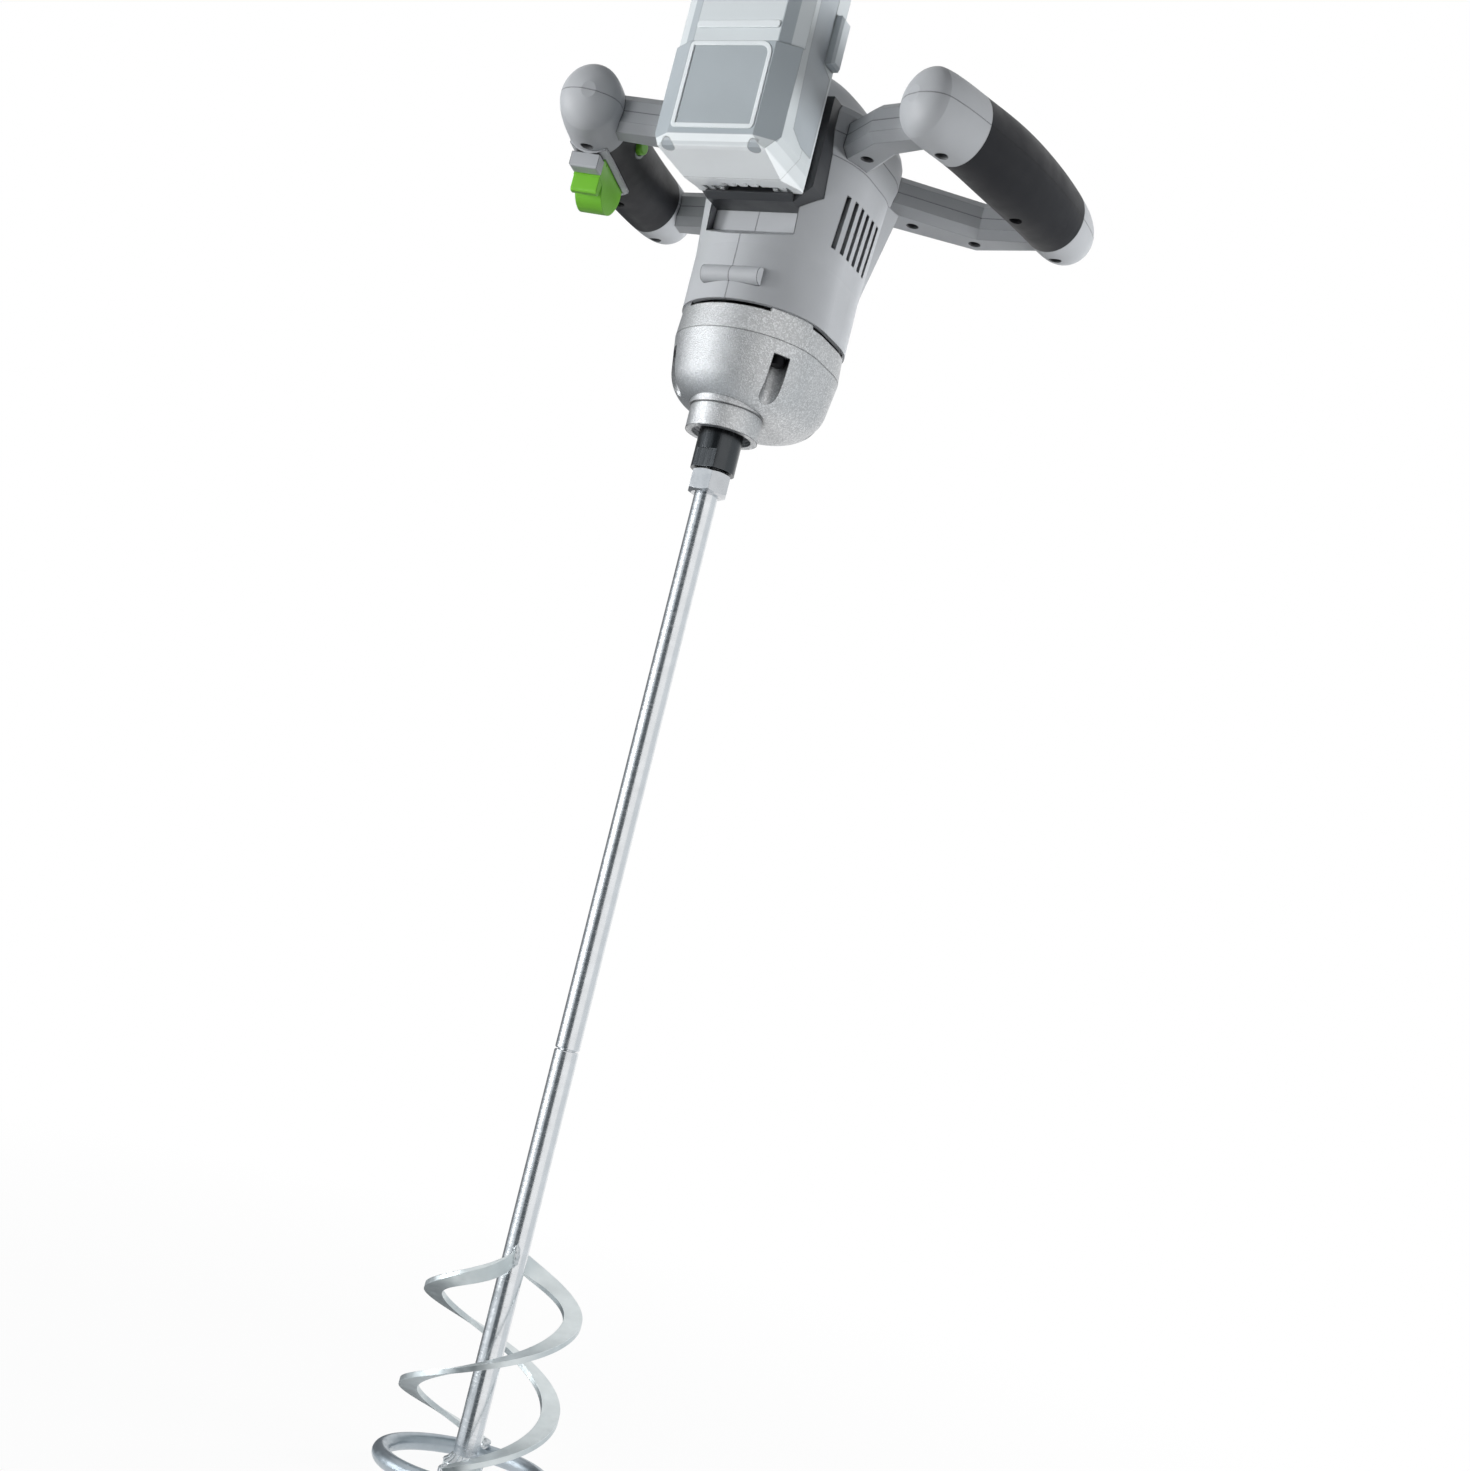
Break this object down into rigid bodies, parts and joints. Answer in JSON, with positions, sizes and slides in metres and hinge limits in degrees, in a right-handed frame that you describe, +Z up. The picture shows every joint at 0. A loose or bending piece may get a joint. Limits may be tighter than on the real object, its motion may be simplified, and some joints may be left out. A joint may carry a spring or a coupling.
{
  "type": "mixing drill",
  "caption": "Cordless mixing drill with bowed side handles, slide-on front battery, cast gear head, clamping collar and a ribbon whisk on a jointed rod.",
  "frame": {"origin": "on the spindle axis at the lower face of the clamping collar", "axes": "+Z up the spindle axis towards the motor, -Y towards the battery, +X towards the right handle"},
  "size_m": [0.316, 0.2101, 0.8513],
  "materials": {
    "cast_aluminium": "grainy cast",
    "housing_grey": "fine grain",
    "grip_charcoal": "soft grain",
    "dock_charcoal": "fine grain",
    "trim_grey": "satin",
    "signal_green": "satin",
    "screw_steel": "blackened",
    "bearing_steel": "ground",
    "spring_steel": "drawn wire",
    "spindle_black": "blackened steel",
    "bright_zinc": "bright zinc plate",
    "bronze": "sintered",
    "ferrite": "sintered",
    "carbon": "pressed carbon",
    "inner_black": "moulded",
    "board_green": "solder mask",
    "pack_grey": "fine grain",
    "pack_panel": "fine grain",
    "cell_wrap": "film wrap",
    "nylon_white": "moulded"
  },
  "bodies": {
    "housing": {"gear_housing": "cast_aluminium", "gear_flange": "cast_aluminium", "gear_screws": "screw_steel", "motor_housing_left": "housing_grey", "motor_housing_right": "housing_grey", "housing_screws": "screw_steel", "handle_frame_lower": "housing_grey", "handle_frame_upper": "housing_grey", "frame_screws": "screw_steel", "right_grip_lower": "grip_charcoal", "right_grip_upper": "grip_charcoal", "left_grip_lower": "grip_charcoal", "left_grip_upper": "grip_charcoal", "top_cover": "housing_grey", "battery_dock": "dock_charcoal", "dock_contacts": "bronze", "control_board": "board_green", "switch_module": "inner_black", "trigger_bezel": "trim_grey", "trigger_spring": "spring_steel", "lock_bezel": "trim_grey", "lock_spring": "spring_steel", "spindle_bearing": "bearing_steel", "spindle_circlip": "spring_steel", "spindle_bush": "bronze", "layshaft_bushes": "bronze", "motor_can": "bearing_steel", "motor_magnets": "ferrite", "motor_bearings": "bearing_steel", "brush_holder": "inner_black", "carbon_brushes": "carbon"},
    "spindle_assembly": {"spindle": "spindle_black", "spindle_gear": "bearing_steel", "hex_nut": "bright_zinc", "upper_rod": "bright_zinc", "rod_stud": "bearing_steel", "lower_rod": "bright_zinc", "whisk_ribbon_front": "bright_zinc", "whisk_ribbon_rear": "bright_zinc", "whisk_ring": "bright_zinc", "whisk_hub": "bright_zinc"},
    "layshaft_assembly": {"layshaft": "bearing_steel", "layshaft_gear": "bearing_steel"},
    "rotor": {"rotor_shaft": "bearing_steel", "rotor_core": "bearing_steel", "commutator": "bronze", "cooling_fan": "inner_black"},
    "trigger_body": {"trigger": "signal_green"},
    "lock_body": {"lock_button": "signal_green"},
    "battery": {"battery_case_front": "pack_grey", "battery_case_rear": "pack_grey", "battery_label": "pack_panel", "battery_side_panels": "pack_panel", "battery_plugs": "pack_panel", "battery_cells": "cell_wrap", "cell_cradle": "nylon_white", "battery_terminals": "bronze", "release_springs": "spring_steel"},
    "release_left": {"release_button_left": "pack_panel"},
    "release_right": {"release_button_right": "pack_panel"}
  },
  "joints": [
    {"name": "spindle_spin", "type": "hinge", "parent": "housing", "child": "spindle_assembly", "pos_m": [0, 0, 0], "axis": [0, 0, 1], "continuous": true},
    {"name": "layshaft_spin", "type": "hinge", "parent": "housing", "child": "layshaft_assembly", "pos_m": [0.02011, 0.01844, 0.04], "axis": [0, 0, 1], "continuous": true},
    {"name": "rotor_spin", "type": "hinge", "parent": "housing", "child": "rotor", "pos_m": [0, 0.02, 0.1], "axis": [0, 0, 1], "continuous": true},
    {"name": "trigger_pull", "type": "slide", "parent": "housing", "child": "trigger_body", "axis": [0, 0, 1], "range_m": [0, 0.006], "stiffness_N_per_m": 600, "springref_m": -0.008, "deforming": ["trigger_spring"]},
    {"name": "lock_press", "type": "slide", "parent": "housing", "child": "lock_body", "axis": [-1, 0, 0], "range_m": [0, 0.0032], "stiffness_N_per_m": 500, "springref_m": -0.004, "deforming": ["lock_spring"]},
    {"name": "battery_lift", "type": "slide", "parent": "housing", "child": "battery", "axis": [0, 0, 1], "range_m": [0, 0.1]},
    {"name": "release_left_press", "type": "slide", "parent": "battery", "child": "release_left", "axis": [1, 0, 0], "range_m": [0, 0.003], "stiffness_N_per_m": 800, "springref_m": -0.004, "deforming": ["release_springs"]},
    {"name": "release_right_press", "type": "slide", "parent": "battery", "child": "release_right", "axis": [-1, 0, 0], "range_m": [0, 0.003], "stiffness_N_per_m": 800, "springref_m": -0.004, "deforming": ["release_springs"]}
  ],
  "couplings": [
    {"joint": "layshaft_spin", "follows": "spindle_spin", "ratio": -4},
    {"joint": "rotor_spin", "follows": "spindle_spin", "ratio": 18.667}
  ]
}
